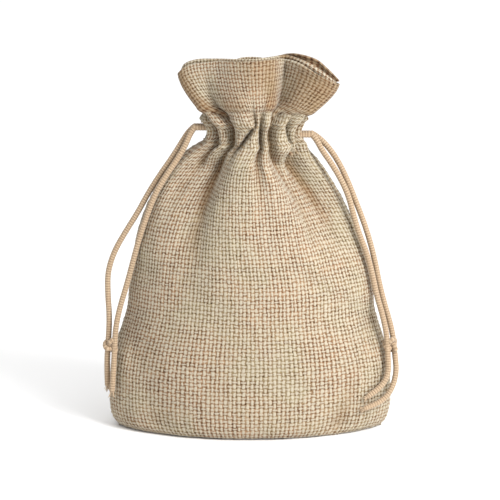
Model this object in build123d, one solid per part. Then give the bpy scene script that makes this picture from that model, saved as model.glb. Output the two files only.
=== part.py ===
"""Drawstring gift pouch of woven cloth, standing filled, with two cords that cinch its neck.

X runs across the pouch, the front faces -Y and Z is up. The origin is on the surface that the
pouch stands on, under the middle of the cloth body. Everything is in millimetres.
"""
from build123d import *
from math import atan2, degrees, pi, radians, tan
import os

os.makedirs("parts", exist_ok=True)

# Cloth and cord
cloth = 0.8                 # thickness of the woven cloth
cord_d = 2.2                # diameter of the braided cord
thread_d = 0.4              # thickness of the sewing thread

# Heights of the neck, where the cords draw the cloth together, and of the rim above it
neck_low = 114.0
neck_high = 123.0
rim_z = 147.0

# Each level of the cloth is an oval of four arcs:
# height, middle in X, half width, half depth, radius of its two ends
neck_oval = (1.3, 20.5, 13.0, 9.0)
body_levels = [
    (0.0, 0.0, 50.5, 19.5, 6.0),
    (2.5, 0.0, 53.9, 22.9, 8.0),
    (10.0, 0.0, 55.1, 24.6, 9.0),
    (22.0, 0.1, 54.9, 25.0, 9.0),
    (36.0, 0.2, 52.1, 24.6, 9.0),
    (55.0, 0.4, 47.6, 23.6, 9.0),
    (74.0, -0.6, 43.6, 22.0, 9.0),
    (90.0, -1.5, 37.1, 19.6, 9.0),
    (103.0, -1.5, 29.1, 16.8, 9.0),
    (109.5, -0.9, 24.5, 14.8, 9.0),
    (neck_low, *neck_oval),
]
header_levels = [
    (neck_high, *neck_oval),
    (129.5, 1.6, 23.6, 13.4, 9.0),
    (138.0, 2.1, 28.2, 14.3, 9.0),
    (rim_z, 2.4, 31.2, 15.2, 9.0),
]

# Cord channel round the neck, between the outer cloth and the turned-in hem
channel_gap = 2.7           # clear width for the cord
channel_low = 115.0
channel_high = 122.0
web = 0.8                   # cloth pinched between outer cloth and hem at each stitch row
hem_skirt = 3.0             # how far the hem's turned edge reaches below the channel
slit_half = 3.2             # half width of the opening in each side seam
slit_low = 115.2
slit_high = 121.8
left_cord_z = 119.9         # the two cords lie one above the other in the channel
right_cord_z = 117.1
strand_y = 1.35             # each side's two strands leave side by side
exit_reach = 1.0            # how far outside the cloth a strand's pivot lies
pivot_gap = 1.15            # clear space each side of the pivot
exit_bend_r = 2.2           # radius of the bend from the channel into the slit

# Seams
allowance_w = 5.0
allowance_t = 1.2
allowance_top = 110.5
stitch_len = 2.2
stitch_pitch = 3.6
channel_stitches = 30

# Knots and the routes of the four free strands, from the pivot to the cut end
knot_radius = 3.3
knot_room = 0.04            # space between the knot's turns and the strands inside it
left_knot_at = (-54.2, -7.2, 34.4)
right_knot_at = (55.1, -6.2, 34.4)
left_front_route = [
    (-22.9, -1.9, 118.0),
    (-24.9, -3.2, 113.2),
    (-28.2, -4.6, 107.8),
    (-32.6, -5.8, 101.6),
    (-36.6, -6.6, 95.0),
    (-39.6, -7.0, 87.0),
    (-42.6, -7.2, 78.4),
    (-45.2, -7.3, 68.8),
    (-48.0, -7.4, 58.4),
    (-50.8, -7.6, 49.4),
    (-52.5, -7.9, 41.0),
    (-52.9, -8.3, 32.4),
    (-53.4, -9.4, 24.0),
    (-54.0, -9.9, 16.0),
]
left_back_route = [
    (-23.4, 1.0, 118.4),
    (-26.4, -0.4, 113.9),
    (-30.2, -1.8, 108.0),
    (-34.8, -2.8, 101.6),
    (-39.2, -3.6, 94.8),
    (-43.4, -4.0, 87.0),
    (-48.2, -4.0, 79.4),
    (-52.6, -4.0, 71.8),
    (-55.4, -4.2, 63.4),
    (-55.4, -4.8, 54.2),
    (-54.8, -5.6, 45.0),
    (-55.5, -6.2, 34.6),
    (-56.1, -6.5, 26.0),
    (-55.8, -7.4, 17.6),
]
right_front_route = [
    (25.4, -1.8, 115.6),
    (27.8, -2.8, 111.2),
    (31.2, -3.8, 106.6),
    (34.9, -4.6, 100.6),
    (37.8, -5.0, 94.4),
    (39.8, -5.2, 87.2),
    (42.2, -5.4, 79.0),
    (45.4, -5.6, 71.0),
    (47.6, -5.8, 62.6),
    (49.2, -6.4, 54.6),
    (51.6, -6.8, 46.8),
    (53.4, -7.0, 38.8),
    (53.9, -7.6, 30.8),
    (54.3, -9.0, 23.6),
    (51.2, -11.6, 18.4),
    (45.4, -14.0, 15.2),
]
right_back_route = [
    (26.4, 1.1, 115.8),
    (30.6, 0.4, 111.6),
    (34.4, -0.6, 106.0),
    (37.8, -1.4, 99.0),
    (40.8, -2.0, 91.4),
    (43.9, -2.5, 83.6),
    (46.6, -3.0, 75.4),
    (48.8, -3.3, 66.8),
    (50.4, -3.6, 58.6),
    (52.4, -3.9, 50.8),
    (54.6, -4.3, 43.6),
    (56.1, -4.8, 37.0),
    (56.8, -5.4, 30.0),
    (57.5, -6.8, 23.2),
    (55.2, -9.6, 16.2),
    (50.2, -12.6, 12.2),
    (44.2, -14.8, 10.8),
]

names_written = []


def save(name, shape):
    """Writes one node's STEP file."""
    shape.label = name
    export_step(shape, f"parts/{name}.step")
    names_written.append(name)


def big_radius(half_x, half_y, end_r):
    """Radius of the oval's front and back arcs, tangent to its two end arcs."""
    return ((half_x - end_r) ** 2 + half_y ** 2 - end_r ** 2) / (2 * (half_y - end_r))


def half_level(level, inset):
    """Front half of one level's oval, moved inwards by inset, as a face closed along Y = 0."""
    z, mid, half_x, half_y, end_r = level
    half_x -= inset
    half_y -= inset
    end_r -= inset
    front_r = big_radius(half_x, half_y, end_r)
    reach = half_x - end_r
    turn = degrees(atan2(front_r - half_y, reach))
    outline = [
        CenterArc((mid - reach, 0), end_r, 180, turn),
        CenterArc((mid, front_r - half_y), front_r, 180 + turn, 180 - 2 * turn),
        CenterArc((mid + reach, 0), end_r, 360 - turn, turn),
        Line((mid + half_x, 0), (mid - half_x, 0)),
    ]
    return Pos(0, 0, z) * make_face(Wire(outline))


def half_loft(levels, inset):
    """Solid front half through the levels."""
    return Solid.make_loft([half_level(level, inset).face().outer_wire() for level in levels])


def neck_block(inset, low, high):
    """Solid front half of the straight neck between two heights."""
    return extrude(half_level((low, *neck_oval), inset), high - low)


def slab(low, high):
    """Everything between two heights."""
    return Pos(0, 0, (low + high) / 2) * Box(300, 300, high - low)


def to_back(shape):
    """The same piece on the back half."""
    return mirror(shape, about=Plane.XZ)


def front_cloth():
    """Front panel: half the floor, the wall, the neck and the header, with both slits' halves."""
    outer = half_loft(body_levels, 0) + neck_block(0, neck_low, neck_high) + half_loft(header_levels, 0)
    room = half_loft(body_levels, cloth) - slab(-10, cloth)
    room = room + neck_block(cloth, neck_low, neck_high) + half_loft(header_levels, cloth)
    slits = Pos(neck_oval[0], 0, (slit_low + slit_high) / 2) * Box(
        3 * neck_oval[1], 2 * slit_half, slit_high - slit_low
    )
    return outer - room - slits


def front_hem():
    """Turned-in layer of the front: the header's lining, the channel's inner wall and its edge."""
    wall_in = cloth + channel_gap
    lining = half_loft(header_levels, cloth) - half_loft(header_levels, 2 * cloth)
    low = channel_low - web
    high = channel_high + web
    pocket = neck_block(cloth, low, high)
    pocket = pocket - neck_block(wall_in + cloth, low, high)
    pocket = pocket - (
        neck_block(cloth, channel_low, channel_high) - neck_block(wall_in, channel_low, channel_high)
    )
    joint = neck_block(cloth, high, neck_high) - neck_block(2 * cloth, high, neck_high)
    collar = neck_block(cloth, neck_low, low) - neck_block(2 * cloth, neck_low, low)
    skirt = half_loft(body_levels, cloth) - half_loft(body_levels, 2 * cloth)
    skirt = skirt & slab(neck_low - hem_skirt, neck_low)
    return lining + joint + pocket + collar + skirt


def both_halves(front):
    """A front half joined to its mirror image."""
    return front + to_back(front)


def seam_plate():
    """Upright double layer of cloth inside the side seams and the bottom seam."""
    inside = both_halves(half_loft(body_levels, cloth)) & slab(cloth, allowance_top)
    core = both_halves(half_loft(body_levels, cloth + allowance_w))
    core = core & slab(cloth + allowance_w, allowance_top + 10)
    return (inside & Box(300, allowance_t, 400)) - core


def half_width_at(z):
    """Middle and half width of the body at a height, between the two nearest levels."""
    for low, high in zip(body_levels, body_levels[1:]):
        if low[0] <= z <= high[0]:
            part = (z - low[0]) / (high[0] - low[0])
            return [low[i] + part * (high[i] - low[i]) for i in (1, 2)]
    return [body_levels[-1][1], body_levels[-1][2]]


def seam_stitches(side):
    """Row of stitches on a side seam's inner cloth, following the edge of the body."""
    row = []
    z = cloth + allowance_w + stitch_pitch
    while z < allowance_top - stitch_pitch:
        ends = []
        for height in (z - stitch_len / 2, z + stitch_len / 2):
            mid, half = half_width_at(height)
            ends.append(Vector(mid + side * (half - cloth - allowance_w / 2), 0, height))
        lean = degrees(atan2(ends[1].X - ends[0].X, ends[1].Z - ends[0].Z))
        middle = (ends[0] + ends[1]) / 2
        stitch = Rot(0, lean, 0) * Box(thread_d, thread_d, stitch_len)
        row.append(Pos(middle.X, -(allowance_t + thread_d) / 2, middle.Z) * stitch)
        z += stitch_pitch
    return Compound(row)


def bottom_stitches():
    """Row of stitches on the bottom seam's inner cloth."""
    count = int(2 * (body_levels[0][2] - 3 * allowance_w) / stitch_pitch)
    row = []
    for i in range(count):
        x = (i - (count - 1) / 2) * stitch_pitch
        place = Pos(x, -(allowance_t + thread_d) / 2, cloth + allowance_w / 2)
        row.append(place * Box(stitch_len, thread_d, thread_d))
    return Compound(row)


def channel_row(z):
    """Ring of stitches on the outside of the neck."""
    low = z - thread_d / 2
    ring = both_halves(neck_block(-thread_d, low, low + thread_d) - neck_block(0, low, low + thread_d))
    row = []
    for i in range(channel_stitches):
        angle = (i + 0.5) * 360 / channel_stitches
        reach = Pos(neck_oval[1] / 2 + 6, 0, 0) * Box(neck_oval[1] + 12, stitch_len, 10)
        dash = ring & (Pos(neck_oval[0], 0, z) * Rot(0, 0, angle) * reach)
        row += dash.solids()
    return Compound(row)


def channel_loop(z, side):
    """A cord's loop in the channel, from one strand's exit round the neck to the other's."""
    inset = cloth + channel_gap / 2
    mid, half_x, half_y, end_r = neck_oval
    half_x -= inset
    half_y -= inset
    end_r -= inset
    front_r = big_radius(half_x, half_y, end_r)
    reach = half_x - end_r
    turn = degrees(atan2(front_r - half_y, reach))
    bend_y = strand_y + exit_bend_r
    bend_x = -reach - ((end_r + exit_bend_r) ** 2 - bend_y ** 2) ** 0.5
    swing = degrees(atan2(bend_y, -bend_x - reach))
    start_x = -(neck_oval[1] + exit_reach - pivot_gap)
    half = [
        Line((start_x, -strand_y), (bend_x, -strand_y)),
        CenterArc((bend_x, -bend_y), exit_bend_r, 90, swing - 90),
        CenterArc((-reach, 0), end_r, 180 + swing, turn - swing),
        CenterArc((0, front_r - half_y), front_r, 180 + turn, 180 - 2 * turn),
        CenterArc((reach, 0), end_r, 360 - turn, turn),
    ]
    loop = Wire(half + [edge.mirror(Plane.XZ) for edge in half])
    if side > 0:
        loop = loop.mirror(Plane.YZ)
    return tube(Pos(mid, 0, z) * loop)


def tube(path, room=0.0):
    """Round cord along a path of lines and tangent arcs, thickened by room all round."""
    start = path @ 0
    section = Plane(origin=start, z_dir=path % 0) * Circle(cord_d / 2 + room)
    return sweep(section, path=path)


def strand(name, route, side, y_side, z):
    """Free strand from its pivot to its cut end, and the room it takes up in its knot."""
    start = (neck_oval[0] + side * (neck_oval[1] + exit_reach + pivot_gap), y_side * strand_y, z)
    points = [Vector(*p) for p in [start] + route]
    radii = []
    for before, here, after in zip(points, points[1:], points[2:]):
        run = min((here - before).length, (after - here).length)
        turn = (here - before).get_angle(after - here)
        radii.append(0.45 * run / tan(radians(turn / 2)))
    path = FilletPolyline(*points, radius=radii)
    solid = tube(path.wire())
    ideal = path.length * pi * cord_d ** 2 / 4
    print(f"{name}: length {path.length:.1f}, volume over ideal {solid.volume / ideal:.4f}")
    print("  radii", " ".join(f"{r:.1f}" for r in radii))
    return solid, tube(path.wire(), knot_room)


def knot(at, rooms):
    """Overhand knot's outer shape, tied round both strands."""
    body = Pos(*at) * Rot(90, 0, 0) * Sphere(knot_radius)
    for room in rooms:
        body = body - room
    return max(body.solids(), key=lambda solid: solid.volume)


front = front_cloth()
save("front_panel", front)
save("back_panel", to_back(front))

hem = front_hem()
save("front_hem", hem)
save("back_hem", to_back(hem))

plate = seam_plate()
split_z = cloth + allowance_w
side_cut = slab(split_z, 200)
save("left_seam_allowance", plate & side_cut & (Pos(-100, 0, 0) * Box(200, 100, 400)))
save("right_seam_allowance", plate & side_cut & (Pos(100, 0, 0) * Box(200, 100, 400)))
save("bottom_seam_allowance", plate & slab(cloth, split_z))
save("left_seam_stitches", seam_stitches(-1))
save("right_seam_stitches", seam_stitches(1))
save("bottom_seam_stitches", bottom_stitches())

save("lower_channel_stitches", channel_row(channel_low - web / 2))
save("upper_channel_stitches", channel_row(channel_high + web / 2))

save("left_cord_loop", channel_loop(left_cord_z, -1))
save("right_cord_loop", channel_loop(right_cord_z, 1))

sides = [
    ("left", -1, left_cord_z, left_front_route, left_back_route, left_knot_at),
    ("right", 1, right_cord_z, right_front_route, right_back_route, right_knot_at),
]
for word, side, z, front_route, back_route, knot_at in sides:
    front_strand, front_room = strand(f"{word}_strand_front", front_route, side, -1, z)
    back_strand, back_room = strand(f"{word}_strand_back", back_route, side, 1, z)
    save(f"{word}_strand_front", front_strand)
    save(f"{word}_strand_back", back_strand)
    save(f"{word}_knot", knot(knot_at, [front_room, back_room]))

print(len(names_written), "nodes")
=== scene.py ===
"""Looks of the drawstring gift pouch: gathered burlap, braided drawcords, knots and stitches.

Lengths in this script are in millimetres, in the frame of the CAD model, and are turned into
metres (times MM) where a Blender object is made.
"""
import math

import bpy
import numpy as np
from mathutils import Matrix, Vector


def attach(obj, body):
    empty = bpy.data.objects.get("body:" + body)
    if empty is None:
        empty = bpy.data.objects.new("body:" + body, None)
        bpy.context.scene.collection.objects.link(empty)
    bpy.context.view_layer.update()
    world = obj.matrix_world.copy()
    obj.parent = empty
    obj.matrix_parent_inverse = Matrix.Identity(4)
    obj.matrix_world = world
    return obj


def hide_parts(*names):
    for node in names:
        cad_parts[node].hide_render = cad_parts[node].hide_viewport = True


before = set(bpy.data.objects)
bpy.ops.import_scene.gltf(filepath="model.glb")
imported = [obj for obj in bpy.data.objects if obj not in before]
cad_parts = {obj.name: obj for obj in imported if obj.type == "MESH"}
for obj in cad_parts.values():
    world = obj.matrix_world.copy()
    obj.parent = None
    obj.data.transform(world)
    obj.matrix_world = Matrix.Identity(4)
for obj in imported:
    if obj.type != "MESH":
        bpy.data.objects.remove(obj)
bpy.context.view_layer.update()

MM = 0.001

# The cloth as it was cut
PANEL_WIDTH = 130.0         # between the side seams

# The grids of the cloth: fine cells are made between coarse ones, and two make one thread pitch
COARSE = 3                  # fine cells to a coarse one
COARSE_COLUMNS = 50
CELL = 2.4                  # height of a coarse cell
CLOTH = 0.55                # thickness of the cloth shown
FLOOR_ROWS = 9
HEADER_ROWS = 11
TURN_ROWS = 4               # fine rows over the turned rim
WEAVE_RELIEF = 0.17

# Heights
NECK_LOW = 114.0            # foot of the neck
NECK_HIGH = 123.0           # top of the neck, where the header starts
SLIT_MIDDLE = 118.5         # middle of the side openings that the cords leave by

# Camera, at the reference's angle
CAMERA_HEIGHT_ANGLE = 14.0
CAMERA_AWAY = 1000.0
CAMERA_AIM_Z = 71.0
FRAME_WIDTH = 195.0

# Cords
CORD = 2.2                  # diameter
CORD_SPACING = 0.2          # between the rings of points of a braided cord
LOOP_HALF_WIDTH = 15.4      # of the cord inside the channel
LOOP_HALF_DEPTH = 5.2
KNOT_SIZE = 2.25
KNOT_CORD = 0.92            # radius of the cord pulled tight in a knot
KNOT_TILT = 0.5
FIBRES = 16                 # loose fibres at each cut end

# Stitches of the channel
STITCH_PITCH = 4.5          # in fine cells
STITCH_REACH = 2.8          # in fine cells
THREAD_RADIUS = 0.17


# ---------------------------------------------------------------- numbers and curves

def smooth_step(low, high, value):
    """0 below low, 1 above high, turning smoothly between."""
    t = np.clip((value - low) / (high - low), 0, 1)
    return t * t * (3 - 2 * t)


def bell(value, width):
    """1 at 0, falling to nothing over a few widths."""
    return np.exp(-0.5 * (value / width) ** 2)


def catmull(values, factor):
    """The rows of an array with factor - 1 smooth rows put between each two."""
    n = len(values)
    padded = np.concatenate([2 * values[:1] - values[1:2], values, 2 * values[-1:] - values[-2:-1]])
    out = []
    for i in range(n - 1):
        a, b, c, d = padded[i:i + 4]
        for k in range(factor):
            t = k / factor
            out.append(0.5 * (2 * b + (c - a) * t + (2 * a - 5 * b + 4 * c - d) * t ** 2
                              + (3 * b - a - 3 * c + d) * t ** 3))
    out.append(values[-1])
    return np.array(out)


def finer(grid, factor):
    """A grid of points with smooth rows and columns put between its own."""
    rows = catmull(grid, factor)
    return catmull(rows.transpose(1, 0, 2), factor).transpose(1, 0, 2)


def grid_normals(grid):
    """Unit normals of a grid of points."""
    along = np.gradient(grid, axis=0)
    across = np.gradient(grid, axis=1)
    normal = np.cross(across, along)
    return normal / np.maximum(np.linalg.norm(normal, axis=2, keepdims=True), 1e-9)


def wander(rng, count, length, step):
    """Smooth random lines: count of them, each with length values that turn every step or so."""
    knots = rng.standard_normal((int(length / step) + 3, count))
    fine = catmull(knots, int(step))
    return fine[:length].T


# ---------------------------------------------------------------- camera

def add_camera():
    """Camera in front of the pouch and a little above it."""
    data = bpy.data.cameras.new("camera")
    data.sensor_width = 36.0
    data.lens = data.sensor_width * CAMERA_AWAY / FRAME_WIDTH
    data.clip_end = 20.0
    camera = bpy.data.objects.new("camera", data)
    bpy.context.scene.collection.objects.link(camera)
    angle = math.radians(CAMERA_HEIGHT_ANGLE)
    back = Vector((0, -math.cos(angle), math.sin(angle)))
    aim = Vector((0, 0, CAMERA_AIM_Z * MM))
    camera.location = aim + back * CAMERA_AWAY * MM
    camera.rotation_euler = back.to_track_quat("Z", "Y").to_euler()
    bpy.context.scene.camera = camera


add_camera()


# ---------------------------------------------------------------- routes of the free strands

# From each pivot to the cut end, the same points as in the CAD source
PIVOTS = {"left": (-20.2, 0.0, 119.9), "right": (22.8, 0.0, 117.1)}
ROUTES = {
    "left_strand_front": [
        (-21.35, -1.35, 119.9),
        (-22.9, -1.9, 118.0),
        (-24.9, -3.2, 113.2),
        (-28.2, -4.6, 107.8),
        (-32.6, -5.8, 101.6),
        (-36.6, -6.6, 95.0),
        (-39.6, -7.0, 87.0),
        (-42.6, -7.2, 78.4),
        (-45.2, -7.3, 68.8),
        (-48.0, -7.4, 58.4),
        (-50.8, -7.6, 49.4),
        (-52.5, -7.9, 41.0),
        (-52.9, -8.3, 32.4),
        (-53.4, -9.4, 24.0),
        (-54.0, -9.9, 16.0),
    ],
    "left_strand_back": [
        (-21.35, 1.35, 119.9),
        (-23.4, 1.0, 118.4),
        (-26.4, -0.4, 113.9),
        (-30.2, -1.8, 108.0),
        (-34.8, -2.8, 101.6),
        (-39.2, -3.6, 94.8),
        (-43.4, -4.0, 87.0),
        (-48.2, -4.0, 79.4),
        (-52.6, -4.0, 71.8),
        (-55.4, -4.2, 63.4),
        (-55.4, -4.8, 54.2),
        (-54.8, -5.6, 45.0),
        (-55.5, -6.2, 34.6),
        (-56.1, -6.5, 26.0),
        (-55.8, -7.4, 17.6),
    ],
    "right_strand_front": [
        (23.95, -1.35, 117.1),
        (25.4, -1.8, 115.6),
        (27.8, -2.8, 111.2),
        (31.2, -3.8, 106.6),
        (34.9, -4.6, 100.6),
        (37.8, -5.0, 94.4),
        (39.8, -5.2, 87.2),
        (42.2, -5.4, 79.0),
        (45.4, -5.6, 71.0),
        (47.6, -5.8, 62.6),
        (49.2, -6.4, 54.6),
        (51.6, -6.8, 46.8),
        (53.4, -7.0, 38.8),
        (53.9, -7.6, 30.8),
        (54.3, -9.0, 23.6),
        (51.2, -11.6, 18.4),
        (45.4, -14.0, 15.2),
    ],
    "right_strand_back": [
        (23.95, 1.35, 117.1),
        (26.4, 1.1, 115.8),
        (30.6, 0.4, 111.6),
        (34.4, -0.6, 106.0),
        (37.8, -1.4, 99.0),
        (40.8, -2.0, 91.4),
        (43.9, -2.5, 83.6),
        (46.6, -3.0, 75.4),
        (48.8, -3.3, 66.8),
        (50.4, -3.6, 58.6),
        (52.4, -3.9, 50.8),
        (54.6, -4.3, 43.6),
        (56.1, -4.8, 37.0),
        (56.8, -5.4, 30.0),
        (57.5, -6.8, 23.2),
        (55.2, -9.6, 16.2),
        (50.2, -12.6, 12.2),
        (44.2, -14.8, 10.8),
    ],
}
STRAND_Y = 1.35             # each side's two strands leave this far before and behind the pivot
KNOTS = {"left_knot": (-54.2, -7.2, 34.4), "right_knot": (55.1, -6.2, 34.4)}


def route_line(name, route):
    """Points, in millimetres, along the smooth NURBS line of a route."""
    data = bpy.data.curves.new(name + "_line", "CURVE")
    data.dimensions = "3D"
    data.resolution_u = 40
    spline = data.splines.new("NURBS")
    spline.points.add(len(route) - 1)
    for point, place in zip(spline.points, route):
        point.co = (*(c * MM for c in place), 1)
    spline.order_u = 3
    spline.use_endpoint_u = True
    holder = bpy.data.objects.new(name + "_line", data)
    bpy.context.scene.collection.objects.link(holder)
    bpy.context.view_layer.update()
    graph = bpy.context.evaluated_depsgraph_get()
    mesh = bpy.data.meshes.new_from_object(holder.evaluated_get(graph))
    line = np.array([v.co for v in mesh.vertices], float) / MM
    bpy.data.objects.remove(holder)
    bpy.data.curves.remove(data)
    bpy.data.meshes.remove(mesh)
    return line


def even_line(line, spacing):
    """The same line as points an even distance apart."""
    steps = np.linalg.norm(np.diff(line, axis=0), axis=1)
    at = np.concatenate([[0], np.cumsum(steps)])
    count = max(2, int(round(at[-1] / spacing)) + 1)
    wanted = np.linspace(0, at[-1], count)
    return np.stack([np.interp(wanted, at, line[:, i]) for i in range(3)], axis=1)


def turning_frames(line, closed=False):
    """Two unit vectors across the line at each of its points, turning as little as they can."""
    if closed:
        ahead = np.roll(line, -1, axis=0) - np.roll(line, 1, axis=0)
    else:
        ahead = np.gradient(line, axis=0)
    ahead /= np.linalg.norm(ahead, axis=1, keepdims=True)
    side = np.cross(ahead[0], (0.0, 1.0, 0.03))
    side /= np.linalg.norm(side)
    sides = []
    for direction in ahead:
        side = side - direction * side.dot(direction)
        side = side / np.linalg.norm(side)
        sides.append(side)
    sides = np.array(sides)
    return sides, np.cross(ahead, sides)


# ---------------------------------------------------------------- meshes

def make_mesh(name, points, faces, smooth=True):
    """Object from points in millimetres."""
    data = bpy.data.meshes.new(name)
    data.from_pydata([tuple(p) for p in np.asarray(points, float) * MM], [], faces)
    data.validate()
    data.polygons.foreach_set("use_smooth", [smooth] * len(data.polygons))
    data.update()
    piece = bpy.data.objects.new(name, data)
    bpy.context.scene.collection.objects.link(piece)
    return piece


def plain_tube(line, radius, sides):
    """Points and faces of a plain round tube along a short line."""
    side, up = turning_frames(line)
    angle = np.linspace(0, 2 * math.pi, sides, endpoint=False)
    ring = side[:, None] * np.cos(angle)[None, :, None] + up[:, None] * np.sin(angle)[None, :, None]
    points = (line[:, None] + ring * radius).reshape(-1, 3)
    faces = [tuple(range(sides))[::-1], tuple(range(len(points) - sides, len(points)))]
    for i in range(len(line) - 1):
        for k in range(sides):
            n = (k + 1) % sides
            faces.append((i * sides + k, i * sides + n, (i + 1) * sides + n, (i + 1) * sides + k))
    return points, faces


BRAID_SIDES = 24
BRAID_RELIEF = 0.10
CARRIERS = 6                # strands of the braid that turn each way
LAY = 2 * math.pi / 2.0     # turn of the braid for each millimetre of cord


def braided_tube(line, radius, closed=False):
    """Points, faces and painted light of a round braided cord along a line, open ends closed by domes;
    the painted light is 1 on the braid's tops and 0 where it dives.
    """
    sides = BRAID_SIDES
    line = even_line(line, CORD_SPACING)
    if closed:
        line = line[:-1]
    side, up = turning_frames(line, closed)
    count = len(line)
    along = np.arange(count) * CORD_SPACING
    angle = np.linspace(0, 2 * math.pi, sides, endpoint=False)
    twist = along[:, None] * LAY
    weave = np.cos(CARRIERS * angle[None, :] + twist) * np.cos(CARRIERS * angle[None, :] - twist)
    rise = radius + BRAID_RELIEF * weave
    # how light each point's colour is painted: full on the braid's tops, none where it dives
    painted_crest_light = (0.5 + 0.5 * weave).ravel()
    if not closed:
        end = np.minimum(along, along[-1] - along)
        dome = np.sqrt(np.clip(1 - (1 - np.clip(end / (0.8 * radius), 0, 1)) ** 2, 0.06, 1))
        rise = rise * dome[:, None]
    ring = side[:, None] * np.cos(angle)[None, :, None] + up[:, None] * np.sin(angle)[None, :, None]
    points = line[:, None] + ring * rise[:, :, None]
    faces = []
    last = count if closed else count - 1
    for i in range(last):
        j = (i + 1) % count
        for k in range(sides):
            n = (k + 1) % sides
            faces.append((i * sides + k, i * sides + n, j * sides + n, j * sides + k))
    points = points.reshape(-1, 3)
    if not closed:
        faces.append(tuple(range(sides))[::-1])
        faces.append(tuple(range((count - 1) * sides, count * sides)))
    return points, faces, painted_crest_light


# ---------------------------------------------------------------- materials

class Nodes:
    """Short calls for a material's node tree."""

    def __init__(self, name):
        self.material = bpy.data.materials.new(name)
        self.material.use_nodes = True
        self.tree = self.material.node_tree
        self.tree.nodes.clear()

    def add(self, kind, **settings):
        """A new node of a kind, with its settings."""
        node = self.tree.nodes.new(kind)
        for key, value in settings.items():
            setattr(node, key, value)
        return node

    def feed(self, node, socket, value):
        """Links or sets one input of a node."""
        if isinstance(value, bpy.types.NodeSocket):
            self.tree.links.new(value, node.inputs[socket])
        else:
            node.inputs[socket].default_value = value

    def math(self, operation, a, b=None, c=None):
        """Result of a sum on numbers or sockets."""
        node = self.add("ShaderNodeMath", operation=operation)
        for i, value in enumerate((a, b, c)):
            if value is not None:
                self.feed(node, i, value)
        return node.outputs[0]

    def mix(self, factor, a, b, blend="MIX"):
        """Two colours mixed."""
        node = self.add("ShaderNodeMix", data_type="RGBA", blend_type=blend)
        self.feed(node, 0, factor)
        self.feed(node, 6, a)
        self.feed(node, 7, b)
        return node.outputs[2]

    def spread(self, value, low, high, to_low=0.0, to_high=1.0):
        """A value carried smoothly from one range to another."""
        node = self.add("ShaderNodeMapRange", interpolation_type="SMOOTHSTEP")
        for i, v in enumerate((value, low, high, to_low, to_high)):
            self.feed(node, i, v)
        return node.outputs[0]

    def noise(self, vector, scale, detail=2.0, rough=0.5):
        """Noise at a place."""
        node = self.add("ShaderNodeTexNoise")
        self.feed(node, "Vector", vector)
        self.feed(node, "Scale", scale)
        self.feed(node, "Detail", detail)
        self.feed(node, "Roughness", rough)
        return node.outputs[0]

    def combine(self, x, y, z=0.0):
        """A vector of three values."""
        node = self.add("ShaderNodeCombineXYZ")
        for i, v in enumerate((x, y, z)):
            self.feed(node, i, v)
        return node.outputs[0]

    def surface(self, color, roughness, height, distance, strength=1.0, sheen=0.0):
        """Finishes the material with a matte shader and its bump."""
        shader = self.add("ShaderNodeBsdfPrincipled")
        self.feed(shader, "Base Color", color)
        self.feed(shader, "Roughness", roughness)
        self.feed(shader, "Specular IOR Level", 0.25)
        self.feed(shader, "Sheen Weight", sheen)
        self.feed(shader, "Sheen Roughness", 0.5)
        bump = self.add("ShaderNodeBump")
        self.feed(bump, "Strength", strength)
        self.feed(bump, "Distance", distance)
        self.feed(bump, "Height", height)
        self.tree.links.new(bump.outputs[0], shader.inputs["Normal"])
        out = self.add("ShaderNodeOutputMaterial")
        self.tree.links.new(shader.outputs[0], out.inputs[0])
        return self.material


def linear(red, green, blue):
    """Colour from sRGB values of 0 to 255."""
    values = []
    for v in (red, green, blue):
        v /= 255
        values.append(v / 12.92 if v <= 0.04045 else ((v + 0.055) / 1.055) ** 2.4)
    return (*values, 1.0)


# pale yarn, also the colour of the highlight painted on the crowns of the threads
YARN_PALE_AND_HIGHLIGHT = linear(176, 167, 148)
YARN_PINK = linear(150, 116, 84)
YARN_GREY = linear(136, 120, 88)
YARN_BROWN = linear(92, 62, 36)
# painted shade: the dark inside of the pouch seen through the holes of the weave
GAP_PAINTED_SHADE = linear(44, 24, 10)
# painted shade: the colour that the bottoms of the folds are multiplied by
FOLD_PAINTED_SHADE = (0.58, 0.43, 0.28, 1.0)


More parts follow.
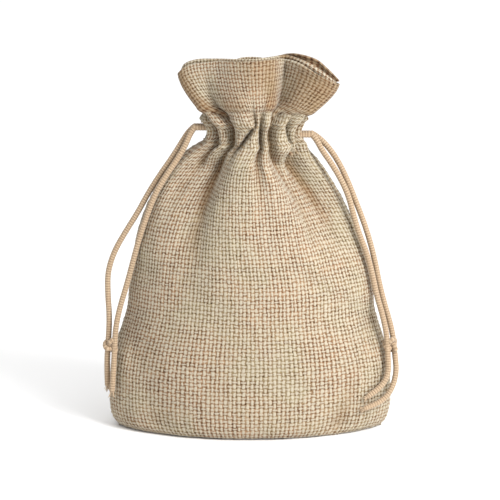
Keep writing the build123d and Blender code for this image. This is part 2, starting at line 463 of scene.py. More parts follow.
def burlap():
    """Plain weave of uneven yarn, with shade and highlight painted into its colour; its UV map counts
    threads, with a crossing at each whole number.
    """
    n = Nodes("burlap")
    uv = n.add("ShaderNodeUVMap", uv_map="threads")
    split = n.add("ShaderNodeSeparateXYZ")
    n.tree.links.new(uv.outputs[0], split.inputs[0])
    flat = n.combine(split.outputs[0], split.outputs[1])
    u = n.math("ADD", split.outputs[0], n.math("MULTIPLY", n.noise(flat, 0.45), 0.5))
    v = n.math("ADD", split.outputs[1], n.math("MULTIPLY", n.noise(flat, 0.38, 3.0), 0.5))
    u = n.math("SUBTRACT", u, 0.25)
    v = n.math("SUBTRACT", v, 0.25)
    wave_u = n.math("COSINE", n.math("MULTIPLY", u, math.pi))
    wave_v = n.math("COSINE", n.math("MULTIPLY", v, math.pi))
    # distance from the middle of the nearest thread, -0.5 to 0.5
    off_u = n.math("SUBTRACT", u, n.math("ROUND", u))
    off_v = n.math("SUBTRACT", v, n.math("ROUND", v))
    thick = n.noise(n.combine(u, n.math("MULTIPLY", v, 0.12)), 1.3)
    thick_w = n.noise(n.combine(n.math("MULTIPLY", u, 0.12), v), 1.3)
    warp_half = n.spread(thick, 0.3, 0.7, 0.33, 0.58)
    weft_half = n.spread(thick_w, 0.3, 0.7, 0.33, 0.58)

    def body_of_thread(off, half):
        """Round section of a thread: 1 on its middle, 0 at its edge."""
        across = n.math("DIVIDE", off, half)
        return n.math("MAXIMUM", n.math("SUBTRACT", 1.0, n.math("MULTIPLY", across, across)), -0.6)

    warp_body = body_of_thread(off_u, warp_half)
    weft_body = body_of_thread(off_v, weft_half)
    warp_rise = n.math("MULTIPLY", n.math("SIGN", wave_u), wave_v)
    weft_rise = n.math("MULTIPLY", n.math("MULTIPLY", n.math("SIGN", wave_v), wave_u), -1.0)
    warp = n.math("ADD", n.math("MULTIPLY", warp_body, 0.70), n.math("MULTIPLY", warp_rise, 0.30))
    weft = n.math("ADD", n.math("MULTIPLY", weft_body, 0.70), n.math("MULTIPLY", weft_rise, 0.30))
    height = n.math("MAXIMUM", warp, weft)
    warp_on_top = n.math("GREATER_THAN", warp, weft)

    # yarn colour: each thread its own shade, fibres along it, the warp a little the lighter, and a
    # painted highlight on the crowns of the threads
    warp_shade = n.noise(n.combine(n.math("ROUND", u), n.math("MULTIPLY", v, 0.11)), 0.83, 3.0, 0.7)
    weft_shade = n.noise(n.combine(n.math("MULTIPLY", u, 0.11), n.math("ROUND", v), 7.0), 0.83, 3.0, 0.7)
    shade = n.math("ADD", n.math("MULTIPLY", warp_on_top, n.math("ADD", warp_shade, 0.06)),
                   n.math("MULTIPLY", n.math("SUBTRACT", 1.0, warp_on_top), weft_shade))
    fibre = n.noise(n.combine(u, v), 2.4, 4.0, 0.7)
    patch = n.noise(n.combine(u, v), 0.05, 3.0, 0.6)
    tone = n.math("ADD", n.math("MULTIPLY", shade, 0.50), n.math("MULTIPLY", fibre, 0.45))
    tone = n.math("ADD", tone, n.math("MULTIPLY", patch, 0.20))
    brown_share = n.spread(tone, 0.44, 0.70)
    pale = n.mix(n.spread(patch, 0.4, 0.6), YARN_PINK, YARN_GREY)
    yarn = n.mix(brown_share, YARN_BROWN, pale)
    # painted highlight: where the weave stands highest the yarn is made paler; the fibre noise and the
    # warp add their own paler tone
    light = n.math("ADD", n.math("MULTIPLY", height, 0.75), n.math("MULTIPLY", fibre, 0.8))
    light = n.math("ADD", light, n.math("MULTIPLY", warp_on_top, 0.08))
    yarn = n.mix(n.spread(light, 0.72, 1.15, 0.0, 0.95), yarn, YARN_PALE_AND_HIGHLIGHT)
    # holes between the threads, of uneven size, painted dark as the shade inside the pouch seen through
    # them
    filled = n.math("MAXIMUM", warp_body, weft_body)
    filled = n.math("ADD", filled, n.math("MULTIPLY", n.math("SUBTRACT", fibre, 0.5), 0.9))
    color = n.mix(n.spread(filled, -0.30, 0.38), GAP_PAINTED_SHADE, yarn)
    # shade painted into the bottoms of the folds: the deeper the cloth lies in a fold, the browner and
    # darker its colour
    painted_fold_shade = n.add("ShaderNodeAttribute", attribute_name="painted_fold_shade").outputs["Fac"]
    color = n.mix(n.spread(painted_fold_shade, -0.2, 1.8, 0.0, 0.8), color, FOLD_PAINTED_SHADE, "MULTIPLY")
    rough = n.spread(height, 0.0, 1.0, 0.95, 0.75)
    relief = n.math("ADD", height, n.math("MULTIPLY", fibre, 0.30))
    return n.surface(color, rough, relief, 0.26 * MM, 0.9, 0.12)


def cord_material():
    """Braided cord: each strand of the braid painted light on its top and painted dark with shade where
    it dives.
    """
    n = Nodes("braided_cord")
    coord = n.add("ShaderNodeTexCoord")
    fine = n.noise(coord.outputs["Object"], 2400.0, 3.0, 0.6)
    broad = n.noise(coord.outputs["Object"], 150.0, 2.0, 0.5)
    painted_crest_light = n.add("ShaderNodeAttribute", attribute_name="painted_crest_light").outputs["Fac"]
    painted_crest_light = n.math("ADD", painted_crest_light, n.math("MULTIPLY", n.math("SUBTRACT", fine, 0.5), 0.5))
    # painted shade and highlight: dark where the braid dives, light on its tops
    color = n.mix(n.spread(painted_crest_light, 0.05, 0.85), linear(112, 88, 64), linear(188, 166, 138))
    color = n.mix(n.spread(broad, 0.35, 0.65, 0.0, 0.30), color, linear(160, 134, 106))
    return n.surface(color, 0.62, fine, 0.05 * MM, 0.5, 0.25)


def thread_material():
    """Sewing thread."""
    n = Nodes("sewing_thread")
    coord = n.add("ShaderNodeTexCoord")
    fine = n.noise(coord.outputs["Object"], 4000.0, 2.0, 0.5)
    color = n.mix(n.spread(fine, 0.3, 0.7), linear(132, 110, 82), linear(168, 146, 114))
    return n.surface(color, 0.6, fine, 0.04 * MM, 0.4, 0.1)


BURLAP = burlap()
CORD_LOOK = cord_material()
THREAD = thread_material()


# ---------------------------------------------------------------- outline of the CAD cloth

def cad_outline(heights):
    """Left edge, right edge and front depth of the CAD cloth at each height, read from its mesh."""
    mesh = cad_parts["front_panel"].data
    places = np.array([v.co for v in mesh.vertices], float) / MM
    edges = np.array([e.vertices[:] for e in mesh.edges])
    low, high = places[edges[:, 0]], places[edges[:, 1]]
    found = []
    for z in heights:
        crossing = (low[:, 2] - z) * (high[:, 2] - z) <= 0
        a, b = low[crossing], high[crossing]
        rise = b[:, 2] - a[:, 2]
        part = np.where(abs(rise) > 1e-6, (z - a[:, 2]) / np.where(rise == 0, 1, rise), 0.0)
        cut = a + (b - a) * part[:, None]
        found.append((cut[:, 0].min(), cut[:, 0].max(), -cut[:, 1].min()))
    return np.array(found)


SIDE_SWELL = 0.9            # how far the soft cloth stands out past the CAD's side edges
OUTLINE_Z = np.linspace(0.4, NECK_LOW, 60)
OUTLINE = cad_outline(OUTLINE_Z)


def outline_at(z):
    """Middle, half width and half depth of the body at a height."""
    left, right, depth = (np.interp(z, OUTLINE_Z, OUTLINE[:, i]) for i in range(3))
    swell = SIDE_SWELL * smooth_step(0, 12, z) * smooth_step(NECK_LOW, 98, z)
    return (left + right) / 2, (right - left) / 2 + swell, depth


# ---------------------------------------------------------------- shape of the cloth

# Folds of each side: place across the neck (0 left seam, 1 right seam), place lower down,
# depth, half width at the neck, half width lower down, reach down the body, lean to the right
# with height at the neck. A fold of negative depth is a crest.
FRONT_FOLDS = [
    (0.05, 0.05, 1.4, 0.8, 2.2, 9, 0.0),
    (0.165, 0.12, 5.4, 1.2, 3.0, 15, -0.004),
    (0.318, 0.295, 6.6, 1.3, 3.4, 26, 0.0),
    (0.445, 0.425, 5.6, 0.6, 1.6, 5, 0.014),
    (0.50, 0.52, -2.2, 6.0, 14.0, 46, 0.0),
    (0.555, 0.575, 5.6, 0.7, 2.4, 12, 0.0),
    (0.645, 0.80, 6.6, 1.2, 3.0, 30, 0.0),
    (0.80, 0.82, 5.0, 0.7, 1.8, 7, -0.006),
    (0.90, 0.90, 3.6, 1.1, 3.0, 14, 0.003),
]
BACK_FOLDS = [
    (0.05, 0.04, 1.6, 0.9, 2.2, 13, 0.0),
    (0.17, 0.15, 5.6, 1.1, 2.8, 17, -0.003),
    (0.28, 0.25, 7.0, 1.2, 4.6, 38, 0.0),
    (0.40, 0.40, 5.4, 0.7, 2.6, 13, 0.006),
    (0.52, 0.54, 6.8, 1.2, 4.4, 30, 0.0),
    (0.64, 0.66, 5.4, 0.8, 2.8, 15, -0.005),
    (0.75, 0.80, 7.0, 1.2, 5.0, 38, 0.0),
    (0.87, 0.88, 5.2, 1.0, 2.6, 15, 0.004),
    (0.95, 0.96, 1.6, 0.9, 2.2, 13, 0.0),
]
# Broad hollows below the neck: place just below it, place lower down, depth, half width, reach
FRONT_HOLLOWS = [(0.285, 0.235, 9.0, 5.8, 32), (0.79, 0.88, 13.0, 5.8, 33)]
BACK_HOLLOWS = [(0.30, 0.26, 6.5, 6.0, 38), (0.52, 0.54, 4.5, 6.5, 34), (0.73, 0.79, 7.0, 6.0, 40)]
# Dents of the filled body: both ends in X and Z, depth, half width; a negative depth is a ridge
FRONT_DENTS = [
    ((46.5, 42.0), (33.0, 3.0), 3.0, 4.0),
    ((20.0, 72.0), (44.0, 53.0), -1.3, 2.8),
    ((24.0, 63.0), (46.0, 46.0), 1.5, 3.4),
    ((-42.0, 72.0), (-22.0, 86.0), -1.3, 2.8),
    ((-40.0, 84.0), (-28.0, 96.0), 1.4, 3.4),
    ((-46.0, 42.0), (-36.0, 8.0), 2.6, 5.0),
    ((-12.0, 30.0), (16.0, 22.0), 1.2, 6.5),
    ((-30.0, 62.0), (-12.0, 46.0), 1.1, 5.5),
]
BACK_DENTS = [
    ((38.0, 66.0), (16.0, 50.0), 0.9, 4.0),
    ((-44.0, 44.0), (-26.0, 14.0), 1.6, 4.5),
    ((-30.0, 80.0), (-10.0, 60.0), -0.8, 3.5),
    ((20.0, 34.0), (44.0, 14.0), 1.2, 5.0),
]
# The rim of each side from the left seam to the right; both seams are folded in at the corners
FRONT_RIM = [
    (-13.0, 2.0, 140.4),
    (-20.0, 0.8, 140.4),
    (-26.0, -1.2, 140.2),
    (-25.6, -3.8, 143.8),
    (-21.0, -5.0, 146.0),
    (-12.6, -6.4, 146.8),
    (-6.0, -10.6, 147.4),
    (1.0, -13.0, 147.8),
    (7.0, -11.4, 148.2),
    (10.6, -7.2, 148.0),
    (13.0, -3.0, 147.4),
    (16.4, -5.2, 147.0),
    (21.4, -9.4, 145.6),
    (27.2, -9.8, 142.2),
    (31.6, -7.8, 139.0),
    (33.0, -5.0, 137.8),
    (31.0, -3.4, 138.2),
    (25.6, -2.2, 139.6),
    (18.0, 0.6, 140.6),
]
BACK_RIM = [
    (-13.0, 2.0, 140.4),
    (-19.6, 3.4, 140.6),
    (-25.0, 4.2, 140.4),
    (-24.2, 8.0, 142.0),
    (-17.0, 11.4, 143.4),
    (-10.0, 3.4, 143.8),
    (-3.6, 12.6, 144.0),
    (4.6, 13.0, 144.0),
    (9.4, 4.0, 144.2),
    (12.6, 9.4, 145.4),
    (14.4, 3.0, 147.2),
    (18.0, -3.4, 148.4),
    (22.6, -6.8, 147.9),
    (26.2, -6.4, 146.2),
    (29.8, -7.0, 143.2),
    (32.8, -5.4, 139.2),
    (31.8, -2.8, 138.4),
    (25.6, -0.8, 139.8),
    (18.0, 0.6, 140.6),
]
# Fold of the neck that runs on to a fold of the rim: its place, and the rim point at its foot
FRONT_JOINT = (0.645, 10)
BACK_JOINT = (0.64, 8)
# Valleys of the header: place across the neck, depth, half widths to the left and to the right
FRONT_VALLEYS = [(0.318, 6.0, 3.6, 1.4), (0.645, 12.0, 1.5, 4.6)]
BACK_VALLEYS = [(0.28, 4.5, 1.8, 3.0), (0.52, 5.0, 2.5, 2.5), (0.75, 4.0, 3.0, 1.8)]


def fold_depth(folds, hollows, place, arc, above):
    """How far the cloth sinks at each place across the panel, at a height above the neck's foot."""
    sink = np.zeros_like(place)
    below = max(0.0, -above)
    drift = 1 - math.exp(-below / 18)
    for at_neck, at_low, depth, width, width_low, reach, lean in folds:
        middle = at_neck + (at_low - at_neck) * drift + lean * (max(above, 0.0) - 4)
        wide = width + (width_low - width) * drift
        fade = math.exp(-(below / reach) ** 1.5)
        sink += depth * fade * bell((place - middle) * arc, wide)
    for at_neck, at_low, depth, width, reach in hollows:
        middle = at_neck + (at_low - at_neck) * drift
        fade = smooth_step(0, 10, below) * math.exp(-(below / reach) ** 2)
        sink += depth * fade * bell((place - middle) * arc, width)
    return sink


def half_ring(side, mid, half_width, depth, folds=(), hollows=(), above=0.0, slit=0.0, ripple=0.0):
    """X and Y of one coarse row across a panel, evenly spaced along the folded cloth.

    Also gives each point's place across the smooth outline, 0 to 1.
    """
    theta = np.linspace(math.pi, 2 * math.pi, 1441)
    base = np.stack([
        mid + half_width * np.cos(theta),
        side * depth * np.abs(np.sin(theta)) ** 1.25,
    ], axis=1)
    steps = np.linalg.norm(np.diff(base, axis=0), axis=1)
    at = np.concatenate([[0], np.cumsum(steps)])
    place = at / at[-1]
    along = np.gradient(base, axis=0)
    along /= np.linalg.norm(along, axis=1, keepdims=True)
    outward = np.stack([along[:, 1], -along[:, 0]], axis=1) * -side
    sink = fold_depth(folds, hollows, place, at[-1], above) + ripple * np.cos(24 * math.pi * place)
    pinned = smooth_step(0, 0.03, place) * smooth_step(0, 0.03, 1 - place)
    shaped = base + outward * ((0.35 * sink.mean() - sink) * pinned)[:, None]
    steps = np.linalg.norm(np.diff(shaped, axis=0), axis=1)
    length = np.concatenate([[0], np.cumsum(steps)])
    wanted = np.linspace(slit, length[-1] - slit, COARSE_COLUMNS + 1)
    row = np.stack([np.interp(wanted, length, shaped[:, i]) for i in range(2)], axis=1)
    return row, np.interp(wanted, length, place)


def level(row, z):
    """A row of X and Y at one height."""
    return np.column_stack([row, np.full(len(row), z)])


def dent(row, dents):
    """Each point's sink from the dents near it."""
    spots = row[:, [0, 2]]
    sink = np.zeros(len(row))
    for start, end, depth, width in dents:
        start, end = np.array(start), np.array(end)
        run = end - start
        part = np.clip((spots - start) @ run / (run @ run), 0, 1)
        away = np.linalg.norm(spots - start - part[:, None] * run, axis=1)
        sink += depth * bell(away, width)
    return sink


def body_heights():
    """Heights of the coarse rows from the floor to the foot of the neck, evenly along the cloth."""
    z = np.linspace(0.6, NECK_LOW, 400)
    _, half, depth = outline_at(z)
    slope = (0.6 * np.gradient(half)) ** 2 + (0.6 * np.gradient(depth)) ** 2
    length = np.cumsum(np.sqrt(np.gradient(z) ** 2 + slope))
    rows = int(round((length[-1] - length[0]) / CELL))
    return np.interp(np.linspace(length[0], length[-1], rows + 1), length, z)


def rim_row(rim, joint, place):
    """The rim's points for every column, matched to the neck at one fold."""
    curve = catmull(np.array(rim), 24)
    steps = np.linalg.norm(np.diff(curve, axis=0), axis=1)
    at = np.concatenate([[0], np.cumsum(steps)])
    at /= at[-1]
    column = np.linspace(0, 1, len(place))
    fold_column = np.interp(joint[0], place, column)
    fold_rim = at[joint[1] * 24]
    wanted = np.interp(column, [0, fold_column, 1], [0, fold_rim, 1])
    padded = np.concatenate([wanted[:1]] * 3 + [wanted] + [wanted[-1:]] * 3)
    wanted = np.convolve(padded, np.ones(7) / 7, mode="valid")
    wanted = (wanted - wanted[0]) / (wanted[-1] - wanted[0])
    return np.stack([np.interp(wanted, at, curve[:, i]) for i in range(3)], axis=1)


SLIT_HALF_WIDTH = 2.7


def slit_at(z):
    """Half width of the side opening that the cords leave by."""
    opening = smooth_step(113.6, 117, z) * smooth_step(113.6, 117, 2 * SLIT_MIDDLE - z)
    return SLIT_HALF_WIDTH * opening


def soften(row, spread):
    """A row with its small folds smoothed away, its two ends kept."""
    reach = int(3 * spread)
    weights = bell(np.arange(-reach, reach + 1), spread)
    weights /= weights.sum()
    padded = np.concatenate([2 * row[:1] - row[reach:0:-1], row, 2 * row[-1:] - row[-2:-reach - 2:-1]])
    return np.stack([np.convolve(padded[:, i], weights, mode="valid") for i in range(3)], axis=1)


def header_rows(neck, rim, place, valleys):
    """Rows from the top of the neck to the rim; the neck's small pleats soon die out.

    Each valley is a place across the neck, a depth, and half widths to its left and right.
    """
    smooth = soften(neck, 2.6)
    smooth[:, 1] *= 1.14
    column = np.arange(len(place))
    inward = -np.sign(rim[len(rim) // 2, 1])
    rows = []
    for k in range(1, HEADER_ROWS + 1):
        part = k / HEADER_ROWS
        pleats = math.exp(-(part / 0.30) ** 1.5)
        flare = 1 - (1 - part) ** 1.55
        row = (smooth + (neck - smooth) * pleats) * (1 - flare) + rim * flare
        row[:, 2] = neck[:, 2] + (rim[:, 2] - neck[:, 2]) * part
        for middle, depth, left, right in valleys:
            away = column - np.interp(middle, place, column)
            wide = np.where(away < 0, left, right) * (0.6 + 0.8 * part)
            fade = smooth_step(0, 0.2, part) * (1 - part) ** 0.8
            row[:, 1] += inward * depth * fade * bell(away, wide)
        rows.append(row)
    return rows


def panel_grid(side, folds, hollows, dents, rim, joint, valleys):
    """Coarse grid of one panel: rows from the bottom seam to the rim, columns from left to right."""
    rows = []
    for z in body_heights():
        row, _ = half_ring(side, *outline_at(z), folds, hollows, z - NECK_LOW)
        row = level(row, z)
        row[:, 1] -= side * dent(row, dents) * smooth_step(0, 6, abs(row[:, 1])) * smooth_step(0, 6, z)
        rows.append(row)
    floor = []
    for k in range(FLOOR_ROWS):
        part = k / FLOOR_ROWS
        row = rows[0].copy()
        row[:, 1] *= part
        row[:, 2] = 0.35 + 0.25 * part
        floor.append(row)
    neck_rows = int(round((NECK_HIGH - NECK_LOW) / CELL))
    for k in range(1, neck_rows + 1):
        z = NECK_LOW + (NECK_HIGH - NECK_LOW) * k / neck_rows
        mid, half, depth = outline_at(NECK_LOW)
        swell = 0.075 * ((z - 118) ** 2 - 16)
        size = (mid, half + swell, depth + swell)
        row, place = half_ring(side, *size, folds, hollows, z - NECK_LOW, slit_at(z))
        rows.append(level(row, z))
    rows += header_rows(rows[-1], rim_row(rim, joint, place), place, valleys)
    return np.array(floor + rows)


# Height, half width and half depth of the hem below the rim's cloth
HEM_LEVELS = [
    (109.6, 17.5, 6.5),
    (112.0, 16.0, 4.6),
    (114.4, 14.4, 3.6),
    (116.8, 14.0, 3.3),
    (119.2, 14.0, 3.3),
    (121.6, 14.4, 3.6),
]


def hem_grid(side, panel):
    """Coarse grid of one hem: from its turned edge inside the neck up to the rim."""
    mid = outline_at(NECK_LOW)[0]
    header = panel[-HEADER_ROWS - 1:]
    inward = grid_normals(panel)[-HEADER_ROWS - 1:] * -side
    close = header + inward * (CLOTH + 0.25)
    rows = []
    for z, half, depth in HEM_LEVELS:
        row, _ = half_ring(side, mid, half, depth, ripple=1.7)
        rows.append(level(row, z))
    channel_top = rows[-1]
    for k in range(1, len(close)):
        part = smooth_step(0, 3, k)
        row = channel_top * (1 - part) + close[k] * part
        row[:, 2] = close[k][:, 2]
        rows.append(row)
    return np.array(rows)


# ---------------------------------------------------------------- cloth simulation of the body

SIM_SCALE = 10 * MM         # the simulation runs on a pouch ten times as large
SIM_FRAMES = 18
FULLNESS = 1.10             # how much wider the cloth is than the outline it hangs on
MOST_MOVED = 4.0            # cap on how far the cloth may settle
SIM_PRESSURE = 2.5


def hold_weight(z, column):
    """How firmly a point of the body keeps its place while the cloth settles, 0 to 1."""
    neck = float(smooth_step(84, 104, z))
    foot = float(smooth_step(9, 2, z))
    edge = min(column, COARSE_COLUMNS - column)
    side = 0.45 * math.exp(-(edge / 3.0) ** 2)
    return min(1.0, max(neck, foot, side, 0.05))


def settle(front, back):
    """Both panels' bodies after a cloth simulation: filled from inside, held at neck and foot."""
    body = FLOOR_ROWS + len(body_heights())
    ring = np.concatenate([front[:body], back[:body, -2:0:-1]], axis=1)
    rows, around = ring.shape[:2]
    index = np.arange(rows * around).reshape(rows, around)
    index[0, COARSE_COLUMNS + 1:] = index[0, COARSE_COLUMNS - 1:0:-1]
    following = np.roll(index, -1, axis=1)
    quads = np.stack([index[:-1], following[:-1], following[1:], index[1:]], axis=-1).reshape(-1, 4)
    faces = [tuple(dict.fromkeys(quad)) for quad in quads.tolist()]

    data = bpy.data.meshes.new("settling")
    data.from_pydata([tuple(p) for p in ring.reshape(-1, 3) * SIM_SCALE], [], faces)
    data.update()
    holder = bpy.data.objects.new("settling", data)
    bpy.context.scene.collection.objects.link(holder)

    # unstrained cloth: each panel flat, a little wider than the outline at each height
    widths = FULLNESS * np.linalg.norm(np.diff(front[:body], axis=1), axis=2).sum(axis=1)
    widths = np.minimum(widths, 1.02 * PANEL_WIDTH)
    steps = np.linalg.norm(np.diff(front[:body], axis=0), axis=2)
    heights = np.concatenate([[0], np.cumsum(steps.mean(axis=1))])
    across = np.concatenate([np.arange(COARSE_COLUMNS + 1), np.arange(COARSE_COLUMNS - 1, 0, -1)])
    flat = np.zeros((rows, around, 3))
    flat[:, :, 0] = (across[None, :] / COARSE_COLUMNS - 0.5) * widths[:, None]
    flat[:, :, 1] = np.where(np.arange(around) > COARSE_COLUMNS, 1.0, 0.0)[None, :]
    flat[:, :, 2] = heights[:, None]
    holder.shape_key_add(name="Basis")
    rest = holder.shape_key_add(name="rest")
    rest.data.foreach_set("co", (flat * SIM_SCALE).ravel())

    pins = holder.vertex_groups.new(name="held")
    for i in range(rows):
        for k in range(around):
            weight = hold_weight(ring[i, k, 2], across[k])
            if i < FLOOR_ROWS:
                weight = 1.0
            pins.add([i * around + k], weight, "REPLACE")

    cloth = holder.modifiers.new("cloth", "CLOTH")
    settings = cloth.settings
    settings.quality = 7
    settings.mass = 0.3
    settings.tension_stiffness = 25
    settings.compression_stiffness = 25
    settings.shear_stiffness = 8
    settings.bending_stiffness = 1.2
    settings.air_damping = 4
    settings.vertex_group_mass = "held"
    settings.pin_stiffness = 1.5
    settings.rest_shape_key = rest
    settings.use_pressure = True
    settings.uniform_pressure_force = SIM_PRESSURE
    settings.effector_weights.gravity = 0.25
    cloth.collision_settings.use_collision = False
    cloth.collision_settings.use_self_collision = False
    cloth.point_cache.frame_start = 1
    cloth.point_cache.frame_end = SIM_FRAMES
    for number in range(1, SIM_FRAMES + 1):
        bpy.context.scene.frame_set(number)
    graph = bpy.context.evaluated_depsgraph_get()
    done = bpy.data.meshes.new_from_object(holder.evaluated_get(graph))
    after = np.empty(len(done.vertices) * 3)
    done.vertices.foreach_get("co", after)
    after = after.reshape(rows, around, 3) / SIM_SCALE
    bpy.data.objects.remove(holder)
    bpy.data.meshes.remove(data)
    bpy.data.meshes.remove(done)
    bpy.context.scene.frame_set(1)

    moved = after - ring
    moved = (2 * moved + np.roll(moved, 1, axis=1) + np.roll(moved, -1, axis=1)) / 4
    moved[1:-1] = (2 * moved[1:-1] + moved[:-2] + moved[2:]) / 4
    far = np.linalg.norm(moved, axis=2, keepdims=True)
    moved *= np.minimum(1, MOST_MOVED / np.maximum(far, 1e-6))
    moved[0, COARSE_COLUMNS + 1:] = moved[0, COARSE_COLUMNS - 1:0:-1]
    moved[:FLOOR_ROWS] = 0
    ring = ring + moved
    ring[:, :, 2] = np.maximum(ring[:, :, 2], 0.35)
    front, back = front.copy(), back.copy()
    front[:body] = ring[:, :COARSE_COLUMNS + 1]
    back[:body, 0] = ring[:, 0]
    back[:body, 1:] = ring[:, :COARSE_COLUMNS - 1:-1]
    return front, back


front_grid = panel_grid(
    -1, FRONT_FOLDS, FRONT_HOLLOWS, FRONT_DENTS, FRONT_RIM, FRONT_JOINT, FRONT_VALLEYS
)
back_grid = panel_grid(1, BACK_FOLDS, BACK_HOLLOWS, BACK_DENTS, BACK_RIM, BACK_JOINT, BACK_VALLEYS)
front_grid, back_grid = settle(front_grid, back_grid)


# ---------------------------------------------------------------- woven panels

def hollow_of(grid, normal, reach=12):
    """How far each point of a fine grid lies behind the middle of the cloth on its two sides; this sets
    the shade painted into the folds.
    """
    padded = np.pad(grid, [(0, 0), (reach, reach), (0, 0)], mode="edge")
    total = np.cumsum(np.insert(padded, 0, 0, axis=1), axis=1)
    around = (total[:, 2 * reach + 1:] - total[:, :-2 * reach - 1]) / (2 * reach + 1)
    return ((around - grid) * normal).sum(axis=2)


def turned_edge(rim, normal, up):
    """Rows that take the cloth over the rim and down inside it."""
    radius = 0.5 * (2 * CLOTH + 0.35)
    rows = []
    for k in range(1, TURN_ROWS + 1):
        angle = math.pi * k / TURN_ROWS
        rows.append(rim - normal * radius * (1 - math.cos(angle)) + up * radius * math.sin(angle))
    return np.array(rows)


def woven(name, coarse, out, seed, outside):
    """Closed mesh of one piece of cloth, woven on one side and plain on the other.

    out is 1 if the grid's normals point out of the woven side, else -1. Only the outside pieces
    have a turned rim and dip into the side seams.
    """
    rng = np.random.default_rng(seed)
    fine = finer(coarse, COARSE)
    rows, columns = fine.shape[:2]
    normal = grid_normals(fine) * out
    across = np.gradient(fine, axis=1)
    across /= np.maximum(np.linalg.norm(across, axis=2, keepdims=True), 1e-9)
    along = np.gradient(fine, axis=0)
    along /= np.maximum(np.linalg.norm(along, axis=2, keepdims=True), 1e-9)
    edge = np.minimum(np.arange(columns), np.arange(columns)[::-1])
    seam_dip = 0.5 * np.exp(-(edge / 2.0) ** 2) * outside
    cu = np.cos(math.pi * np.arange(columns))[None, :]
    cv = np.cos(math.pi * np.arange(rows))[:, None]
    warp = wander(rng, columns, rows, 9).T
    weft = wander(rng, rows, columns, 9)
    between = (1 - cu * cv) / 2
    hole = (1 - cu) * (1 - cv) / 4
    weave = (0.5 * (cu + cv) + 0.4 * between - 0.3 * hole) * (1 + 0.2 * warp + 0.2 * weft)
    relief = WEAVE_RELIEF * weave + 0.05 * (warp + weft)
    drift = 0.10 * warp[:, :, None] * across + 0.10 * weft[:, :, None] * along
    drift *= smooth_step(0, 4, edge)[None, :, None]
    outer = fine + normal * (relief - seam_dip[None, :])[:, :, None] + drift
    inner = fine - normal * (CLOTH + seam_dip[None, :, None])
    # how deep the cloth lies in a fold, kept on the mesh to set the shade painted into the folds
    painted_fold_shade = hollow_of(fine, normal)
    if outside:
        outer = np.concatenate([outer, turned_edge(fine[-1], normal[-1], along[-1])])
        inner = np.concatenate([inner, np.repeat(inner[-1:], TURN_ROWS, axis=0)])
        inner[-TURN_ROWS:] -= along[-1] * 0.3
        painted_fold_shade = np.concatenate([painted_fold_shade, np.repeat(painted_fold_shade[-1:], TURN_ROWS, axis=0)])
        rows += TURN_ROWS
    points = np.concatenate([outer.reshape(-1, 3), inner.reshape(-1, 3)])
    count = rows * columns
    grid = np.arange(count).reshape(rows, columns)
    a, b, c, d = grid[:-1, :-1], grid[:-1, 1:], grid[1:, 1:], grid[1:, :-1]
    quads = [np.stack([a, b, c, d], axis=-1).reshape(-1, 4)]
    quads.append(np.stack([d, c, b, a], axis=-1).reshape(-1, 4) + count)
    for line, reverse in ((grid[0], True), (grid[-1], False), (grid[:, 0], False), (grid[:, -1], True)):
        rim = np.stack([line[:-1], line[1:], line[1:] + count, line[:-1] + count], axis=-1)
        quads.append(rim[:, ::-1] if reverse == (line is not grid[:, 0]) else rim)
    faces = np.concatenate(quads)
    piece = make_mesh(name, points, (faces if out > 0 else faces[:, ::-1]).tolist())
    layer = piece.data.uv_layers.new(name="threads")
    loops = np.empty(len(piece.data.loops), np.int32)
    piece.data.loops.foreach_get("vertex_index", loops)
    loops = loops % count
    uv = np.stack([(loops % columns) / 2, (loops // columns) / 2], axis=1)
    layer.data.foreach_set("uv", uv.ravel())
    # attribute that the material reads to paint shade into the folds
    depth = piece.data.attributes.new("painted_fold_shade", "FLOAT", "POINT")
    depth.data.foreach_set("value", np.concatenate([painted_fold_shade.ravel(), painted_fold_shade.ravel()]))
    return piece


# Name, CAD node, grid, way that the grid's normals point, flat height in metres, seed, whether it
# is outside
cloths = [
    ("front_cloth", "front_panel", front_grid, 1, 0.180, 11, True),
    ("back_cloth", "back_panel", back_grid, -1, 0.180, 12, True),
    ("front_hem_cloth", "front_hem", hem_grid(-1, front_grid), -1, 0.036, 13, False),
    ("back_hem_cloth", "back_hem", hem_grid(1, back_grid), 1, 0.036, 14, False),
]
for name, node, grid, out, tall, seed, outside in cloths:
    piece = woven(name, grid, out, seed, outside)
    piece.data.materials.append(BURLAP)
    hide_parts(node)
    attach(piece, "root")


# ---------------------------------------------------------------- cords

def reach_back(line, distance):
    """The line with a point added before its start, straight back along it."""
    ahead = line[1] - line[0]
    return np.concatenate([[line[0] - ahead / np.linalg.norm(ahead) * distance], line])


def channel_loop(pivot):
    """Line of the cord inside the channel: in at the side opening, round the neck and out again."""
    mid = outline_at(NECK_LOW)[0]
    side = 1 if pivot[0] < mid else -1
    turn = np.linspace(0.30, 2 * math.pi - 0.30, 40)
    ring = np.stack([
        mid - side * LOOP_HALF_WIDTH * np.cos(turn),
        -LOOP_HALF_DEPTH * np.sin(turn),
        np.full(len(turn), pivot[2]),
    ], axis=1)
    start = [(pivot[0] + inward * side, -STRAND_Y, pivot[2]) for inward in (-0.9, 1.6)]
    end = [(x, -y, z) for x, y, z in start[::-1]]
    return catmull(np.concatenate([start, ring, end]), 6)


def knot_line(at, size, tilt):
    """Closed line of a small tight knot."""
    t = np.linspace(0, 2 * math.pi, 90, endpoint=False)
    x = size * (np.sin(t) + 2 * np.sin(2 * t)) / 2.9
    z = 1.18 * size * (np.cos(t) - 2 * np.cos(2 * t)) / 2.9
    y = 0.62 * size * np.sin(3 * t)
    turned = np.stack([
        x * math.cos(tilt) - z * math.sin(tilt),
        y,
        x * math.sin(tilt) + z * math.cos(tilt),
    ], axis=1)
    return turned + np.array(at)


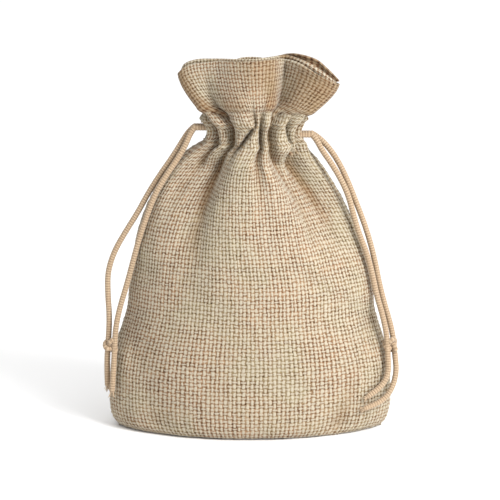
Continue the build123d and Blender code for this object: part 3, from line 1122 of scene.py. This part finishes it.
def frayed_end(line, seed):
    """Loose fibres past the cut end of a cord: points, faces and painted light, nearly full on every
    fibre.
    """
    rng = np.random.default_rng(seed)
    side, up = turning_frames(line[-6:])
    ahead = line[-1] - line[-6]
    ahead /= np.linalg.norm(ahead)
    t = np.linspace(0, 1, 5)[:, None]
    points = []
    faces = []
    for number in range(FIBRES):
        angle = rng.uniform(0, 2 * math.pi)
        outward = side[-1] * math.cos(angle) + up[-1] * math.sin(angle)
        start = line[-1] - ahead * 0.5 + outward * 0.8 * math.sqrt(rng.uniform(0, 1))
        length = rng.uniform(0.9, 2.4)
        bend = outward * rng.uniform(0.1, 0.6) + np.array([0.0, 0.0, -0.15])
        fibre, rings = plain_tube(start + ahead * length * t + bend * length * t ** 2, 0.10, 5)
        faces += [tuple(len(fibre) * number + i for i in ring) for ring in rings]
        points.append(fibre)
    points = np.concatenate(points)
    return points, faces, np.full(len(points), 0.9)


def joined(first, second):
    """Two sets of points, faces and painted light as one."""
    faces = first[1] + [tuple(i + len(first[0]) for i in face) for face in second[1]]
    return np.concatenate([first[0], second[0]]), faces, np.concatenate([first[2], second[2]])


def cord_piece(name, node, body, tube):
    """One piece of cord that stands for a CAD node."""
    points, faces, painted_crest_light = tube
    piece = make_mesh(name, points, faces)
    layer = piece.data.attributes.new("painted_crest_light", "FLOAT", "POINT")
    layer.data.foreach_set("value", painted_crest_light)
    piece.data.materials.append(CORD_LOOK)
    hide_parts(node)
    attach(piece, body)
    return piece


for node, at in KNOTS.items():
    side = node.split("_")[0]
    tube = braided_tube(knot_line(at, KNOT_SIZE, KNOT_TILT), KNOT_CORD, closed=True)
    cord_piece(node + "_cord", node, side + "_cord_pair", tube)

for seed, (node, route) in enumerate(ROUTES.items()):
    side = node.split("_")[0]
    line = route_line(node, route)
    pivot = PIVOTS[side]
    start = np.array([pivot[0], route[0][1], pivot[2]])
    whole = reach_back(np.concatenate([[start], line]), 0.9)
    tube = joined(braided_tube(whole, CORD / 2), frayed_end(even_line(whole, CORD_SPACING), seed))
    piece = cord_piece(node + "_cord", node, side + "_cord_pair", tube)

for side, pivot in PIVOTS.items():
    tube = braided_tube(channel_loop(pivot), CORD / 2)
    cord_piece(side + "_loop_cord", side + "_cord_loop", "root", tube)


# ---------------------------------------------------------------- stitches

def stitch_row(name, node, z):
    """Row of stitches round the neck, each dipping into the cloth at both ends."""
    points = []
    faces = []
    for grid, out in ((front_grid, 1), (back_grid, -1)):
        fine = finer(grid, COARSE)
        normal = grid_normals(fine) * out
        middle = fine.shape[1] // 2
        row = FLOOR_ROWS * COARSE + int(np.argmin(abs(fine[FLOOR_ROWS * COARSE:, middle, 2] - z)))
        columns = np.arange(fine.shape[1])
        for first in np.arange(2, fine.shape[1] - 5, STITCH_PITCH):
            spots = np.linspace(first, first + STITCH_REACH, 7)
            line = np.stack([np.interp(spots, columns, fine[row, :, i]) for i in range(3)], axis=1)
            lift = np.stack([np.interp(spots, columns, normal[row, :, i]) for i in range(3)], axis=1)
            rise = 0.36 * np.sin(np.linspace(0, math.pi, len(spots))) - 0.10
            dash, rings = plain_tube(line + lift * rise[:, None], THREAD_RADIUS, 8)
            base = sum(len(p) for p in points)
            points.append(dash)
            faces += [tuple(base + i for i in ring) for ring in rings]
    piece = make_mesh(name, np.concatenate(points), faces)
    piece.data.materials.append(THREAD)
    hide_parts(node)
    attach(piece, "root")


stitch_row("lower_stitches", "lower_channel_stitches", 114.5)
stitch_row("upper_stitches", "upper_channel_stitches", 122.5)

# The seams inside keep their CAD shapes
for seam in ("left", "right", "bottom"):
    for node, look in ((seam + "_seam_stitches", THREAD), (seam + "_seam_allowance", BURLAP)):
        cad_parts[node].data.materials.clear()
        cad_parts[node].data.materials.append(look)


# ---------------------------------------------------------------- floor and light

def plain_material(name, color, rough):
    """Material of one colour."""
    n = Nodes(name)
    shader = n.add("ShaderNodeBsdfPrincipled")
    n.feed(shader, "Base Color", color)
    n.feed(shader, "Roughness", rough)
    n.feed(shader, "Specular IOR Level", 0.1)
    out = n.add("ShaderNodeOutputMaterial")
    n.tree.links.new(shader.outputs[0], out.inputs[0])
    return n.material


def add_floor():
    """Large pale floor."""
    size = 3000.0
    corners = [(-size, -size, 0), (size, -size, 0), (size, size, 0), (-size, size, 0)]
    floor = make_mesh("floor", corners, [(0, 1, 2, 3)], smooth=False)
    floor.data.materials.append(plain_material("pale_floor", (0.97, 0.97, 0.97, 1), 0.9))


def add_light(name, place, aim, size, power):
    """Square soft light."""
    data = bpy.data.lights.new(name, "AREA")
    data.size = size * MM
    data.energy = power
    lamp = bpy.data.objects.new(name, data)
    bpy.context.scene.collection.objects.link(lamp)
    lamp.location = Vector(place) * MM
    direction = Vector(place) - Vector(aim)
    lamp.rotation_euler = direction.to_track_quat("Z", "Y").to_euler()


def add_sun(strength):
    """Very soft light from above that is even over the whole floor."""
    data = bpy.data.lights.new("overhead", "SUN")
    data.energy = strength
    data.angle = math.radians(120)
    lamp = bpy.data.objects.new("overhead", data)
    bpy.context.scene.collection.objects.link(lamp)
    lamp.rotation_euler = (math.radians(18), math.radians(14), 0)


def add_world(strength):
    """Even white light from all round."""
    world = bpy.data.worlds.new("studio")
    world.use_nodes = True
    world.node_tree.nodes["Background"].inputs[0].default_value = (1, 1, 1, 1)
    world.node_tree.nodes["Background"].inputs[1].default_value = strength
    bpy.context.scene.world = world


add_floor()
add_light("key", (560, -560, 560), (0, 0, 70), 340, 9.5)
add_sun(1.9)
add_world(0.48)
bpy.context.scene.view_settings.view_transform = "Standard"
